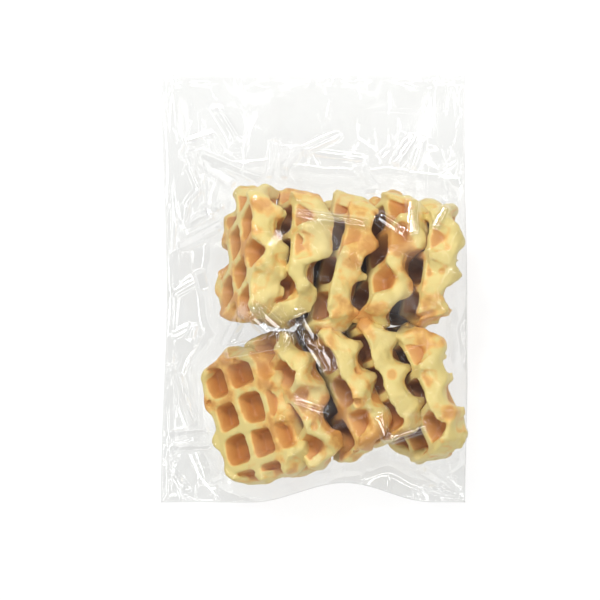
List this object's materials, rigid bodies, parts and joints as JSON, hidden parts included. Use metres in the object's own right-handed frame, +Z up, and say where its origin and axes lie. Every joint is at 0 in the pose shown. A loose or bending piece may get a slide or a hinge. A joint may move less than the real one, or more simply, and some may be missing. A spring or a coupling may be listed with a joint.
{
  "type": "bag of belgian waffles",
  "caption": "Clear sealed film bag lying on its back, filled with two rows of thick waffles that lean on each other.",
  "frame": {"origin": "middle of the bag's footprint, on the surface that it lies on", "axes": "+X across the bag to its right, +Y along the bag from the bottom seal to the top seal, +Z up, out of the side that shows"},
  "size_m": [0.182, 0.256, 0.0677],
  "materials": {
    "film": "clear glossy film over golden waffles",
    "waffle": "baked crust, matte, pale rims and browned pockets"
  },
  "bodies": {
    "root": {"waffle_bag": "film"}
  },
  "joints": []
}
